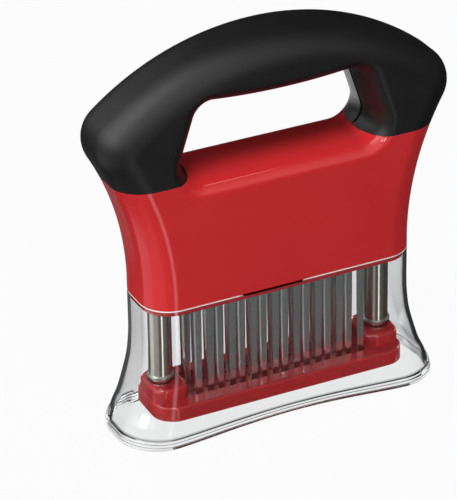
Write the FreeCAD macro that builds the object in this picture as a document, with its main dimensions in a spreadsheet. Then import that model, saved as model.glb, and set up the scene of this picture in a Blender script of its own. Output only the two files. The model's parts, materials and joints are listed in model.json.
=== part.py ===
import FreeCAD, Part
import math
import os
from types import SimpleNamespace
import Sketcher
from FreeCAD import Rotation, Vector

# Blade meat tenderizer. Millimetres. X runs along the width, -Y is the front, +Z is up.
# Origin: centre of the footprint, on the surface that the rim of the guard stands on.

DIMENSIONS = {
    # housing and D-handle, front view
    "body_depth": 46,
    "body_half_width": 78,
    "body_bottom": 79.5,
    "flare_start": 85,
    "flare_radius": 160,
    "handle_half_width": 100.8,
    "shoulder_radius": 19,
    "handle_top": 220.5,
    "edge_round": 17,
    # hand opening
    "body_top": 150,
    "opening_top": 188.4,
    "belly_radius": 380,
    "opening_half_top": 46.5,
    "opening_half_bottom": 59.2,
    "opening_corner_top": 8,
    "opening_corner_bottom": 10,
    "opening_round": 10,
    # grip over the core of the handle
    "grip_line": 151,
    "grip_wall": 9,
    "palm_wall": 6,
    "core_depth": 24,
    "seam_width": 1.2,
    "seam_depth": 1,
    # housing shell, its lip and what stands inside it
    "wall": 2.6,
    "ceiling": 145.5,
    "ledge": 1.9,
    "lip_bottom": 75.5,
    "lip_inset": 2.4,
    "lip_wall": 2,
    "rib_thickness": 2.4,
    "rib_x": 32,
    "rib_root": 0.4,
    "post_radius": 3.5,
    "post_x": 60,
    "post_y": 15,
    # base plate and its screws
    "base_bottom": 77,
    "base_top": 80.5,
    "base_gap": 0.1,
    "window_half_x": 53.5,
    "window_half_y": 13.5,
    "base_screw_radius": 1.25,
    "base_screw_head": 2.6,
    "base_screw_head_height": 1.6,
    "base_screw_length": 13,
    # columns with their bushes, stop rings and clips
    "column_x": 64.5,
    "column_radius": 6.5,
    "column_bore": 4.5,
    "column_foot": 33,
    "column_top": 89,
    "bush_radius": 7.7,
    "bush_bottom": 74,
    "bush_flange_radius": 8.8,
    "bush_top": 82.5,
    "running_gap": 0.06,
    "ring_radius": 8.2,
    "ring_bottom": 82.55,
    "ring_height": 2.2,
    "plug_radius": 5.9,
    "plug_bottom": 20.5,
    "plug_flange": 31.3,
    "plug_top": 46,
    "clip_radius": 7.5,
    "clip_inner_radius": 4.4,
    "clip_bottom": 30.3,
    "clip_thickness": 0.9,
    "clip_gap": 4.4,
    # return springs and their pins
    "spring_radius": 3.55,
    "spring_wire": 0.65,
    "spring_coils": 9,
    "pin_radius": 2.3,
    "pin_bottom": 84,
    "pin_top": 150,
    # guide plate
    "plate_half_x": 73.6,
    "plate_half_y": 20.6,
    "plate_corner": 12,
    "plate_bottom": 11.2,
    "plate_ledge": 19.6,
    "plate_floor": 14.8,
    "plate_edge_round": 1.4,
    "recess_half_x": 52.6,
    "recess_half_y": 12.4,
    "recess_corner": 2,
    "boss_top": 27.4,
    "boss_inner": 53,
    "boss_outer": 73.2,
    "boss_half_y": 13.6,
    "boss_corner": 7,
    "boss_round": 2.2,
    "plug_recess_radius": 7.3,
    "plug_recess_depth": 2.2,
    "foot_screw_radius": 1.6,
    "foot_screw_head": 3.6,
    "foot_screw_head_bottom": 11.8,
    "foot_screw_head_top": 14.2,
    "foot_screw_top": 31,
    # knives
    "knives_per_row": 16,
    "knife_pitch": 6.4,
    "knife_pair_shift": 0.4,
    "row_pitch": 9,
    "row_stagger": 1.6,
    "knife_width": 4.2,
    "knife_taper_top": 56,
    "knife_lower_width": 3.4,
    "knife_thickness": 0.8,
    "knife_tip": 11.8,
    "knife_point": 4,
    "knife_bevel": 0.6,
    "knife_shoulder": 92,
    "knife_top": 96,
    "knife_head_width": 5.4,
    "slot_gap": 0.35,
    # knife holder and clamp plate
    "holder_half_x": 55.3,
    "holder_half_y": 15,
    "tray_half_x": 53.6,
    "tray_half_y": 10.6,
    "clamp_top": 100,
    "clamp_screw_x": 50,
    "clamp_screw_y": 12.8,
    "clamp_screw_radius": 1.1,
    "clamp_screw_head": 2.1,
    "clamp_screw_head_height": 1.6,
    "clamp_screw_bottom": 84,
    # guard
    "guard_wall": 2,
    "guard_top": 79.3,
    "rim_half_x": 92.5,
    "rim_half_y": 28.5,
    "rim_corner": 24,
    "rim_arch": 4.2,
    "rim_arch_radius": 480,
    "rim_arch_blend": 120,
    "rim_bead": 1.2,
    "rim_bead_height": 5,
    "notch_middle": -8.5,
    "notch_half": 19.5,
    "notch_depth": 1.2,
}
# levels of the guard, and how far its outline has widened there from the body to the rim
GUARD_STATIONS = [
    (0, 1.0), (9.5, 0.84), (17.5, 0.58), (29, 0.32), (40, 0.12), (52, 0.02), (62, 0.0), (70, 0.0),
]
SIDES = {"left": -1, "right": 1}
CORNERS = [(-1, -1), (1, -1), (1, 1), (-1, 1)]
WIRE_SIDES = 6
CLEAR = 1
REACH = 110
TOUCH = 1e-3

doc = FreeCAD.newDocument("blade_meat_tenderizer")
sheet = doc.addObject("Spreadsheet::Sheet", "Dimensions")
for row, (alias, number) in enumerate(DIMENSIONS.items(), start=1):
    sheet.set(f"A{row}", alias)
    sheet.set(f"B{row}", str(number))
    sheet.setAlias(f"B{row}", alias)
doc.recompute()
finished = []


# ---------------------------------------------------------------- sizes and features

class Size:
    """A length as a formula of the sheet's cells, together with its number."""

    def __init__(self, text, number):
        self.text = text
        self.number = number

    def __float__(self):
        return float(self.number)

    def __add__(self, other):
        other = as_size(other)
        return Size(f"({self.text} + {other.text})", self.number + other.number)

    def __sub__(self, other):
        other = as_size(other)
        return Size(f"({self.text} - {other.text})", self.number - other.number)

    def __mul__(self, other):
        other = as_size(other)
        return Size(f"({self.text} * {other.text})", self.number * other.number)

    def __truediv__(self, other):
        other = as_size(other)
        return Size(f"({self.text} / {other.text})", self.number / other.number)

    def __rmul__(self, other):
        return as_size(other) * self

    def __neg__(self):
        return as_size(-1) * self


def as_size(value):
    return value if isinstance(value, Size) else Size(f"({value})", value)


# N holds the numbers of the sheet, S the same as sizes
N = SimpleNamespace(**{name: float(getattr(sheet, name)) for name in DIMENSIONS})
S = SimpleNamespace(**{name: Size(f"Dimensions.{name}", number) for name, number in vars(N).items()})


def bind(feature, prop, size, unit=""):
    """Bind a property of a feature to the sheet."""
    feature.setExpression(prop, as_size(size).text + unit)


def part(feature, name):
    """Give a finished sub-part its name and put it on the list that is written out."""
    feature.Label = name
    finished.append(feature)
    return feature


def body(name):
    return doc.addObject("PartDesign::Body", name)


def plane(owner, role):
    """An origin plane of a body."""
    return next(item for item in owner.Origin.OriginFeatures if item.Role == role)


def sketch_on(owner, name, role="XY_Plane", level=None):
    """Sketch on an origin plane of its body, moved out to a level."""
    sketch = owner.newObject("Sketcher::SketchObject", name)
    sketch.AttachmentSupport = [(plane(owner, role), "")]
    sketch.MapMode = "FlatFace"
    if level is not None:
        bind(sketch, "AttachmentOffset.Base.z", level)
    return sketch


def dimension(sketch, kind, refs, size, label):
    """A driving dimension of a sketch, bound to the sheet."""
    index = sketch.addConstraint(Sketcher.Constraint(kind, *refs, float(size)))
    sketch.renameConstraint(index, label)
    bind(sketch, f"Constraints.{label}", size, " * 1 mm")


def constrain(sketch, rules):
    for rule in rules:
        sketch.addConstraint(Sketcher.Constraint(*rule))


def arc(centre, radius, start, end):
    circle = Part.Circle(centre, Vector(0, 0, 1), radius)
    return Part.ArcOfCircle(circle, start, end)


def rounded_rectangle(sketch, half_x, half_y, corner, right=None, mark=""):
    """Rounded rectangle about the origin, or with its right side at a given place."""
    x = float(half_x - corner)
    y = float(half_y - corner)
    middle = float(right - half_x) if right else 0.0
    radius = float(corner)
    first = sketch.GeometryCount
    ends = [
        (-x, -y - radius, x, -y - radius), (x + radius, -y, x + radius, y),
        (x, y + radius, -x, y + radius), (-x - radius, y, -x - radius, -y),
    ]
    for x0, y0, x1, y1 in ends:
        sketch.addGeometry(Part.LineSegment(Vector(middle + x0, y0), Vector(middle + x1, y1)))
    for quarter, (side_x, side_y) in enumerate([(1, -1), (1, 1), (-1, 1), (-1, -1)]):
        centre = Vector(middle + side_x * x, side_y * y)
        start = (quarter - 1) * math.pi / 2
        sketch.addGeometry(arc(centre, radius, start, start + math.pi / 2))
    for side in range(4):
        corner_arc = first + 4 + side
        following = first + (side + 1) % 4
        constrain(sketch, [
            ("Tangent", first + side, 2, corner_arc, 1), ("Tangent", corner_arc, 2, following, 1),
        ])
    constrain(sketch, [("Equal", first + 4, first + 4 + other) for other in range(1, 4)])
    constrain(sketch, [
        ("Horizontal", first + 2), ("Vertical", first + 3), ("Symmetric", first + 1, 1, first + 1, 2, -1),
    ])
    if right:
        constrain(sketch, [("Horizontal", first)])
        dimension(sketch, "DistanceX", (-1, 1, first + 1, 1), right, "Right" + mark)
    else:
        constrain(sketch, [("Symmetric", first, 1, first, 2, -2)])
    dimension(sketch, "DistanceX", (first + 3, 2, first + 1, 1), 2 * half_x, "Width" + mark)
    dimension(sketch, "DistanceY", (first, 1, first + 2, 2), 2 * half_y, "Depth" + mark)
    dimension(sketch, "Radius", (first + 4,), corner, "Corner" + mark)


def pad(owner, name, sketch, length, symmetric=False, kind="PartDesign::Pad"):
    """Pad or pocket of a sketch."""
    feature = owner.newObject(kind, name)
    feature.Profile = sketch
    if symmetric:
        feature.SideType = "Symmetric"
    bind(feature, "Length", length)
    return feature


def mirrored(owner, features):
    """Mirror features over the middle plane of the width."""
    copy = owner.newObject("PartDesign::Mirrored", "mirrored")
    copy.Originals = features
    copy.MirrorPlane = (plane(owner, "YZ_Plane"), [""])
    owner.Tip = copy
    return copy


def rounded_block(name, half_x, half_y, corner, low, high):
    """Upright block with rounded corners about the origin."""
    owner = body(name)
    sketch = sketch_on(owner, name + "_outline", level=low)
    rounded_rectangle(sketch, half_x, half_y, corner)
    pad(owner, name + "_pad", sketch, high - low)
    return owner


def box(name, low, high):
    """Box between two corners."""
    feature = doc.addObject("Part::Box", name)
    for axis, prop, start, end in zip("xyz", ("Length", "Width", "Height"), low, high):
        bind(feature, f"Placement.Base.{axis}", start)
        bind(feature, prop, as_size(end) - start)
    return feature


def rod(name, radius, low, high, x=0, y=0):
    """Upright cylinder between two levels."""
    feature = doc.addObject("Part::Cylinder", name)
    bind(feature, "Radius", radius)
    bind(feature, "Height", high - low)
    for axis, place in zip("xyz", (x, y, low)):
        bind(feature, f"Placement.Base.{axis}", place)
    return feature


def joined(name, shapes):
    feature = doc.addObject("Part::MultiFuse", name)
    feature.Shapes = shapes
    return feature


def cut(name, base, tool):
    feature = doc.addObject("Part::Cut", name)
    feature.Base = base
    feature.Tool = tool
    return feature


def common(name, base, tool):
    feature = doc.addObject("Part::Common", name)
    feature.Base = base
    feature.Tool = tool
    return feature


def group(name, shapes):
    """Equal pieces that stay separate solids of one node."""
    feature = doc.addObject("Part::Compound", name)
    feature.Links = shapes
    return part(feature, name)


def fillet(owner, name, edges, radius):
    """Round some edges of a body, given by their names."""
    base = owner.Tip
    feature = owner.newObject("PartDesign::Fillet", name)
    feature.Base = (base, edges)
    bind(feature, "Radius", radius)
    doc.recompute()
    return feature


def edges_where(shape, wanted):
    """Names of the edges whose two ends and middle all answer to a test."""
    names = []
    for index, edge in enumerate(shape.Edges, start=1):
        first, last = edge.ParameterRange
        points = [edge.valueAt(place) for place in (first, last, (first + last) / 2)]
        if all(wanted(point) for point in points):
            names.append(f"Edge{index}")
    return names


# ---------------------------------------------------------------- outer form

def direction(origin, target):
    delta = target - origin
    return math.atan2(delta.y, delta.x)


def outer_arcs(inset):
    """Centres and radii of the arcs of the outer front view: flare, shoulder and crown."""
    flare = Vector(N.body_half_width + N.flare_radius, N.flare_start)
    shoulder_x = N.handle_half_width - N.shoulder_radius
    reach = N.flare_radius + N.shoulder_radius
    shoulder = Vector(shoulder_x, flare.y + math.sqrt(reach ** 2 - (flare.x - shoulder_x) ** 2))
    drop = shoulder.y - N.handle_top
    crown_r = (N.shoulder_radius ** 2 - shoulder.x ** 2 - drop ** 2) / (2 * (drop + N.shoulder_radius))
    crown = Vector(0, N.handle_top - crown_r)
    radii = (N.flare_radius + inset, N.shoulder_radius - inset, crown_r - inset)
    return zip((flare, shoulder, crown), radii)


def front_half(sketch, inset, grow):
    """Right half of the front view: the C of the handle on top of the body.

    inset draws the outer arcs in, grow pushes the outline of the hand opening out.
    """
    inset = as_size(inset)
    grow = as_size(grow)
    wide = float(grow)
    (flare, flare_r), (shoulder, shoulder_r), (crown, crown_r) = outer_arcs(float(inset))
    half = N.body_half_width - float(inset)
    bottom = N.body_bottom
    high_r = N.opening_corner_top + wide
    low_r = N.opening_corner_bottom + wide
    lower = N.body_top - wide
    belly_r = N.belly_radius - wide
    belly = Vector(0, N.opening_top + N.belly_radius)
    leg_low = Vector(N.opening_half_bottom, N.body_top)
    leg_high = Vector(N.opening_half_top, N.opening_top)
    down = (leg_low - leg_high).normalize()
    out = Vector(-down.y, down.x)
    # centre of the lower corner, at its radius from the leg and the floor of the opening
    foot = leg_low + out * (wide - low_r)
    low_centre = foot - down * ((foot.y - lower - low_r) / down.y)
    # centre of the upper corner, at its radius from the leg and the belly of the grip
    foot = leg_low + out * (wide - high_r)
    delta = foot - belly
    along = delta.dot(down)
    span = belly_r + high_r
    high_centre = foot - down * (along + math.sqrt(along ** 2 - delta.dot(delta) + span ** 2))
    if high_centre.y > N.opening_top + wide:
        high_centre = foot - down * (along - math.sqrt(along ** 2 - delta.dot(delta) + span ** 2))
    touch = math.atan2(out.y, out.x)
    belly_end = direction(belly, high_centre)
    shoulder_end = direction(crown, shoulder)
    pieces = [
        Part.LineSegment(Vector(0, bottom), Vector(half, bottom)),
        Part.LineSegment(Vector(half, bottom), Vector(half, flare.y)),
        arc(flare, flare_r, direction(flare, shoulder), math.pi),
        arc(shoulder, shoulder_r, direction(shoulder, flare), shoulder_end),
        arc(crown, crown_r, shoulder_end, math.pi / 2),
        Part.LineSegment(crown + Vector(0, crown_r), belly - Vector(0, belly_r)),
        arc(belly, belly_r, -math.pi / 2, belly_end),
        arc(high_centre, high_r, touch, belly_end + math.pi),
        Part.LineSegment(high_centre + out * high_r, low_centre + out * low_r),
        arc(low_centre, low_r, -math.pi / 2, touch),
        Part.LineSegment(low_centre - Vector(0, low_r), Vector(0, lower)),
        Part.LineSegment(Vector(0, lower), Vector(0, bottom)),
    ]
    for piece in pieces:
        sketch.addGeometry(piece)
    leg_line = sketch.addGeometry(Part.LineSegment(leg_low, leg_high), True)
    constrain(sketch, [
        ("Coincident", 0, 2, 1, 1), ("Tangent", 1, 2, 2, 2), ("Tangent", 2, 1, 3, 1),
        ("Tangent", 3, 2, 4, 1), ("Coincident", 4, 2, 5, 1), ("Coincident", 5, 2, 6, 1),
        ("Tangent", 6, 2, 7, 2), ("Tangent", 7, 1, 8, 1), ("Tangent", 8, 2, 9, 2),
        ("Tangent", 9, 1, 10, 1), ("Coincident", 10, 2, 11, 1), ("Coincident", 11, 2, 0, 1),
        ("Horizontal", 0), ("Vertical", 1), ("Horizontal", 10), ("PointOnObject", 0, 1, -2),
        ("PointOnObject", 10, 2, -2), ("PointOnObject", 4, 3, -2), ("PointOnObject", 4, 2, -2),
        ("PointOnObject", 6, 3, -2), ("PointOnObject", 6, 1, -2), ("Parallel", 8, leg_line),
    ])
    rules = [
        ("DistanceY", (-1, 1, 0, 1), S.body_bottom, "Bottom"),
        ("DistanceX", (-1, 1, 1, 2), S.body_half_width - inset, "Half"),
        ("DistanceY", (-1, 1, 1, 2), S.flare_start, "Flare"),
        ("Radius", (2,), S.flare_radius + inset, "FlareRadius"),
        ("DistanceX", (-1, 1, 3, 3), S.handle_half_width - S.shoulder_radius, "Shoulder"),
        ("Radius", (3,), S.shoulder_radius - inset, "ShoulderRadius"),
        ("DistanceY", (-1, 1, 4, 2), S.handle_top - inset, "Top"),
        ("DistanceY", (-1, 1, 6, 1), S.opening_top + grow, "Roof"),
        ("Radius", (6,), S.belly_radius - grow, "BellyRadius"),
        ("Radius", (7,), S.opening_corner_top + grow, "HighRadius"),
        ("Radius", (9,), S.opening_corner_bottom + grow, "LowRadius"),
        ("DistanceY", (-1, 1, 10, 2), S.body_top - grow, "Lower"),
        ("DistanceX", (-1, 1, leg_line, 1), S.opening_half_bottom, "LegLow"),
        ("DistanceY", (-1, 1, leg_line, 1), S.body_top, "LegLowLevel"),
        ("DistanceX", (-1, 1, leg_line, 2), S.opening_half_top, "LegHigh"),
        ("DistanceY", (-1, 1, leg_line, 2), S.opening_top, "LegHighLevel"),
    ]
    for kind, refs, size, name in rules:
        dimension(sketch, kind, refs, size, name)
    if wide:
        dimension(sketch, "Distance", (leg_line, 1, 8), grow, "LegWall")
    else:
        constrain(sketch, [("PointOnObject", 8, 1, leg_line)])


def front_form(name, inset, grow, depth):
    """Solid of the front view."""
    owner = body(name)
    sketch = sketch_on(owner, name + "_outline", "XZ_Plane")
    front_half(sketch, inset, grow)
    half = pad(owner, name + "_half", sketch, depth, symmetric=True)
    doc.recompute()
    mirrored(owner, [half])
    doc.recompute()
    return owner


def round_form(owner, inset, grow, depth):
    """Round the front and rear edges of a front form, outside and in the hand opening."""
    inset = as_size(inset)
    grow = as_size(grow)
    wide = float(grow)
    half_depth = float(depth) / 2
    floor = N.body_top - wide - CLEAR
    roof = N.opening_top + wide + N.opening_half_top ** 2 / N.belly_radius
    reach = N.opening_half_bottom + wide + CLEAR

    def on_face(point):
        return abs(abs(point.y) - half_depth) < TOUCH

    def in_opening(point):
        return floor < point.z < roof and abs(point.x) < reach

    def outside(point):
        return on_face(point) and not in_opening(point)

    def inside(point):
        return on_face(point) and in_opening(point)

    bottom = N.body_bottom + TOUCH
    flat = edges_where(owner.Shape, lambda point: point.z < bottom)
    outer = [edge for edge in edges_where(owner.Shape, outside) if edge not in flat]
    fillet(owner, "outer_round", outer, S.edge_round - inset)
    fillet(owner, "opening_round", edges_where(owner.Shape, inside), S.opening_round - grow)
    return owner


def grip_region():
    """Everything above the level at which the grip ends on the housing."""
    return box("grip_region", (-REACH, -REACH, S.grip_line), (REACH, REACH, 2 * S.handle_top))


# ---------------------------------------------------------------- housing and grip

def lip_outline(inset):
    return S.body_half_width - inset, S.body_depth / 2 - inset, S.edge_round - inset


def housing_cavity():
    """Room inside the shell, from the ledge above the base plate to the ceiling."""
    grow = S.body_top - S.ceiling
    depth = S.body_depth - 2 * S.wall
    form = round_form(front_form("cavity_form", S.wall, grow, depth), S.wall, grow, depth)
    low = (-REACH, -REACH, S.body_bottom + S.ledge)
    slab = box("cavity_slab", low, (REACH, REACH, S.ceiling))
    return common("cavity", form, slab)


def housing(envelope, core, region):
    """Red shell with the core of the handle, its lip, the screw posts and the clamping ribs."""
    shell = cut("shell", envelope, region)
    lip = rounded_block("lip", *lip_outline(S.lip_inset), S.lip_bottom, S.body_bottom + CLEAR)
    mouth = rounded_block("mouth", *lip_outline(S.lip_inset + S.lip_wall), S.lip_bottom - CLEAR,
                          S.body_bottom + S.ledge + CLEAR)
    solid = joined("housing_solid", [shell, core, lip])
    hollow = cut("housing_hollow", solid, joined("housing_room", [housing_cavity(), mouth]))
    inner = []
    for number, (x, y) in enumerate(CORNERS, start=1):
        place = (x * S.post_x, y * S.post_y)
        inner.append(rod(f"post_{number}", S.post_radius, S.base_top, S.ceiling + CLEAR, *place))
    for name, side in SIDES.items():
        middle = side * S.rib_x
        reach = S.body_depth / 2 - S.wall + S.rib_root
        low = (middle - S.rib_thickness / 2, -reach, S.clamp_top)
        high = (middle + S.rib_thickness / 2, reach, S.ceiling)
        inner.append(box(f"rib_{name}", low, high))
    holes = base_screw_shanks("thread")
    for name, side in SIDES.items():
        holes.append(rod(f"pin_seat_{name}", S.pin_radius, S.ceiling - CLEAR, S.pin_top, side * S.column_x))
    whole = joined("housing_whole", [hollow] + inner)
    return part(cut("housing_piece", whole, joined("housing_holes", holes)), "housing")


def grip_halves(envelope, core, region):
    """Soft grip in a front and a rear half, with a seam groove where they meet in the hand opening."""
    sleeve = cut("grip_sleeve", common("grip_outside", envelope, region), core)
    seam_floor = front_form("seam_floor", -CLEAR, S.seam_depth, S.body_depth)
    low = (-REACH, -S.seam_width / 2, 0)
    slab = box("seam_slab", low, (REACH, S.seam_width / 2, S.opening_top + 2 * S.seam_depth))
    grooved = cut("grip_grooved", sleeve, cut("seam_groove", slab, seam_floor))
    for name, front, rear in (("grip_front", -REACH, 0), ("grip_rear", 0, REACH)):
        half = box(name + "_side", (-REACH, front, 0), (REACH, rear, 2 * S.handle_top))
        part(common(name + "_piece", grooved, half), name)


# ---------------------------------------------------------------- base plate and its screws

def base_screw_shanks(name):
    """Shanks of the base screws, also used as the holes that they fill."""
    shanks = []
    for number, (x, y) in enumerate(CORNERS, start=1):
        shanks.append(rod(f"{name}_{number}", S.base_screw_radius, S.base_bottom,
                          S.base_bottom + S.base_screw_length, x * S.post_x, y * S.post_y))
    return shanks


def base_screws():
    screws = []
    low = S.base_bottom - S.base_screw_head_height
    for number, ((x, y), shank) in enumerate(zip(CORNERS, base_screw_shanks("base_shank")), start=1):
        head = rod(f"base_head_{number}", S.base_screw_head, low, S.base_bottom, x * S.post_x, y * S.post_y)
        screws.append(joined(f"base_screw_{number}", [head, shank]))
    group("base_screws", screws)


def base_plate():
    """Plate that closes the housing from below and carries the two bushes."""
    outline = lip_outline(S.lip_inset + S.lip_wall + S.base_gap)
    block = rounded_block("base_block", *outline, S.base_bottom, S.base_top)
    half_x = S.window_half_x
    half_y = S.window_half_y
    low = S.base_bottom - CLEAR
    high = S.base_top + CLEAR
    openings = [box("base_window", (-half_x, -half_y, low), (half_x, half_y, high))]
    for name, side in SIDES.items():
        openings.append(rod(f"bush_hole_{name}", S.bush_radius, low, high, side * S.column_x))
    openings += base_screw_shanks("base_hole")
    part(cut("base_piece", block, joined("base_openings", openings)), "base_plate")


# ---------------------------------------------------------------- columns and springs

def column_bush(name, place):
    sleeve = rod(f"sleeve_{name}", S.bush_radius, S.bush_bottom, S.bush_top, place)
    flange = rod(f"flange_{name}", S.bush_flange_radius, S.base_top, S.bush_top, place)
    bore = rod(f"bush_bore_{name}", S.column_radius + S.running_gap, S.bush_bottom - CLEAR,
               S.bush_top + CLEAR, place)
    part(cut(f"bush_{name}", joined(f"bush_solid_{name}", [sleeve, flange]), bore), f"column_bush_{name}")


def column(name, place):
    tube = rod(f"tube_{name}", S.column_radius, S.column_foot, S.column_top, place)
    bore = rod(f"tube_bore_{name}", S.column_bore, S.column_foot - CLEAR, S.column_top + CLEAR, place)
    part(cut(f"tube_open_{name}", tube, bore), f"column_{name}")


def stop_ring(name, place):
    """Ring on the column that rests on the bush and so holds the guide plate up."""
    top = S.ring_bottom + S.ring_height
    ring = rod(f"ring_{name}", S.ring_radius, S.ring_bottom, top, place)
    bore = rod(f"ring_bore_{name}", S.column_radius, S.ring_bottom - CLEAR, top + CLEAR, place)
    part(cut(f"ring_open_{name}", ring, bore), f"stop_ring_{name}")


def column_plug(name, place):
    """Turned foot that joins the column to the guide plate, with the clip in its groove."""
    foot = rod(f"foot_{name}", S.plug_radius, S.plug_bottom, S.plug_flange, place)
    shoulder = rod(f"shoulder_{name}", S.column_radius, S.plug_flange, S.column_foot, place)
    spigot = rod(f"spigot_{name}", S.column_bore, S.column_foot, S.plug_top, place)
    clip_top = S.clip_bottom + S.clip_thickness
    disc = rod(f"disc_{name}", S.clip_radius, S.clip_bottom, clip_top, place)
    neck = rod(f"neck_{name}", S.clip_inner_radius, S.clip_bottom - CLEAR, clip_top + CLEAR, place)
    ring = cut(f"clip_ring_{name}", disc, neck)
    solid = joined(f"plug_solid_{name}", [foot, shoulder, spigot])
    thread = rod(f"foot_thread_{name}", S.foot_screw_radius, S.plug_bottom - CLEAR, S.foot_screw_top, place)
    grooved = cut(f"plug_grooved_{name}", solid, ring)
    part(cut(f"plug_{name}", grooved, thread), f"column_plug_{name}")
    half_gap = S.clip_gap / 2
    low = (place - half_gap, 0, S.clip_bottom - CLEAR)
    high = (place + half_gap, S.clip_radius + CLEAR, clip_top + CLEAR)
    mouth = box(f"clip_mouth_{name}", low, high)
    part(cut(f"clip_{name}", ring, mouth), f"retaining_clip_{name}")


def spring(name, place):
    """Return spring between the plug in the column and the ceiling of the housing."""
    low = S.plug_top + S.spring_wire
    height = S.ceiling - S.plug_top - 2 * S.spring_wire
    line = doc.addObject("Part::Helix", f"spring_line_{name}")
    bind(line, "Radius", S.spring_radius)
    bind(line, "Height", height)
    bind(line, "Pitch", height / S.spring_coils)
    section = doc.addObject("Part::RegularPolygon", f"spring_section_{name}")
    section.Polygon = WIRE_SIDES
    bind(section, "Circumradius", S.spring_wire)
    section.Placement.Rotation = Rotation(Vector(1, 0, 0), 90)
    for feature, x in ((line, place), (section, place + S.spring_radius)):
        bind(feature, "Placement.Base.x", x)
        bind(feature, "Placement.Base.z", low)
    doc.recompute()
    coil = doc.addObject("Part::Sweep", f"coil_{name}")
    coil.Sections = [section]
    coil.Spine = (line, [f"Edge{number}" for number in range(1, len(line.Shape.Edges) + 1)])
    coil.Solid = True
    coil.Frenet = True
    part(coil, f"spring_{name}")


def column_side(name, side):
    """Everything that belongs to one of the two columns."""
    place = side * S.column_x
    column_bush(name, place)
    column(name, place)
    stop_ring(name, place)
    column_plug(name, place)
    spring(name, place)
    part(rod(f"pin_{name}", S.pin_radius, S.pin_bottom, S.pin_top, place), f"spring_pin_{name}")


# ---------------------------------------------------------------- knives

def knife_places(row):
    """Places of the knives of a row (-1 front, 0 middle, 1 rear), which stand in close pairs."""
    stagger = -N.row_stagger if row == 0 else N.row_stagger
    swap = -1 if row < 0 else 1
    places = []
    for index in range(int(N.knives_per_row)):
        along = (index - (N.knives_per_row - 1) / 2) * N.knife_pitch
        pair = N.knife_pair_shift * (swap if index % 2 == 0 else -swap)
        places.append(Vector(along + stagger + pair, row * N.row_pitch, 0))
    return places


def slot_field(name, low, high):
    """Cutting tool for the slots that the knives pass through."""
    size = (N.knife_width + 2 * N.slot_gap, N.knife_thickness + 2 * N.slot_gap, float(high - low))
    slots = []
    for row in (-1, 0, 1):
        for place in knife_places(row):
            corner = place + Vector(-size[0] / 2, -size[1] / 2, float(low))
            slots.append(Part.makeBox(*size, corner))
    feature = doc.addObject("Part::Feature", name)
    feature.Shape = Part.makeCompound(slots)
    return feature


def knife_blank():
    """One knife: head, blade, slightly narrower lower part, chisel point and a bevel along one edge."""
    owner = body("knife_blank")
    sketch = sketch_on(owner, "knife_outline", "XZ_Plane")
    half = N.knife_width / 2
    head = N.knife_head_width / 2
    lower = N.knife_lower_width / 2
    heel = N.knife_tip + N.knife_point
    right = [
        Vector(lower, heel), Vector(half, N.knife_taper_top), Vector(half, N.knife_shoulder),
        Vector(head, N.knife_shoulder), Vector(head, N.knife_top),
    ]
    points = [Vector(0, N.knife_tip)] + right + [Vector(-place.x, place.y) for place in reversed(right)]
    for start, end in zip(points, points[1:] + points[:1]):
        sketch.addGeometry(Part.LineSegment(start, end))
    count = len(points)
    constrain(sketch, [("Coincident", index, 2, (index + 1) % count, 1) for index in range(count)])
    constrain(sketch, [("Vertical", index) for index in (2, 4, 6, 8)])
    constrain(sketch, [("Horizontal", index) for index in (3, 7)])
    constrain(sketch, [
        ("PointOnObject", 0, 1, -2), ("Symmetric", 0, 2, 9, 2, -2), ("Symmetric", 1, 2, 9, 1, -2),
        ("Symmetric", 5, 1, 5, 2, -2), ("PointOnObject", 7, 1, 3),
    ])
    rules = [
        ("DistanceY", (-1, 1, 0, 1), S.knife_tip, "Tip"),
        ("DistanceY", (0, 1, 0, 2), S.knife_point, "Point"),
        ("DistanceX", (9, 2, 0, 2), S.knife_lower_width, "LowerWidth"),
        ("DistanceY", (-1, 1, 1, 2), S.knife_taper_top, "Taper"),
        ("DistanceX", (9, 1, 1, 2), S.knife_width, "Width"),
        ("DistanceY", (-1, 1, 2, 2), S.knife_shoulder, "Shoulder"),
        ("DistanceX", (5, 2, 5, 1), S.knife_head_width, "Head"),
        ("DistanceY", (-1, 1, 5, 1), S.knife_top, "Crown"),
    ]
    for kind, refs, size, label in rules:
        dimension(sketch, kind, refs, size, label)
    pad(owner, "knife_pad", sketch, S.knife_thickness, symmetric=True)
    doc.recompute()
    edge = edges_where(owner.Shape, lambda p: p.y < 0 and p.z > heel - TOUCH
                       and -half - TOUCH < p.x < -lower + TOUCH)
    blade = owner.Tip
    bevel = owner.newObject("PartDesign::Chamfer", "knife_bevel")
    bevel.Base = (blade, edge)
    bind(bevel, "Size", S.knife_bevel)
    doc.recompute()
    return owner


def knives(blank):
    """Three rows of separate knives, every second one turned round."""
    for row, name in enumerate(("knives_front", "knives_middle", "knives_rear"), start=-1):
        row_of_knives = []
        for index, place in enumerate(knife_places(row)):
            knife = blank.Shape.copy()
            if index % 2:
                knife.rotate(Vector(0, 0, 0), Vector(0, 0, 1), 180)
            knife.translate(place)
            row_of_knives.append(knife)
        feature = doc.addObject("Part::Feature", name + "_row")
        feature.Shape = Part.makeCompound(row_of_knives)
        part(feature, name)


def clamp_screw_shanks(name):
    """Shanks of the clamp screws, also used as the holes that they fill."""
    shanks = []
    for number, (x, y) in enumerate(CORNERS, start=1):
        shanks.append(rod(f"{name}_{number}", S.clamp_screw_radius, S.clamp_screw_bottom, S.clamp_top,
                          x * S.clamp_screw_x, y * S.clamp_screw_y))
    return shanks


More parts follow.
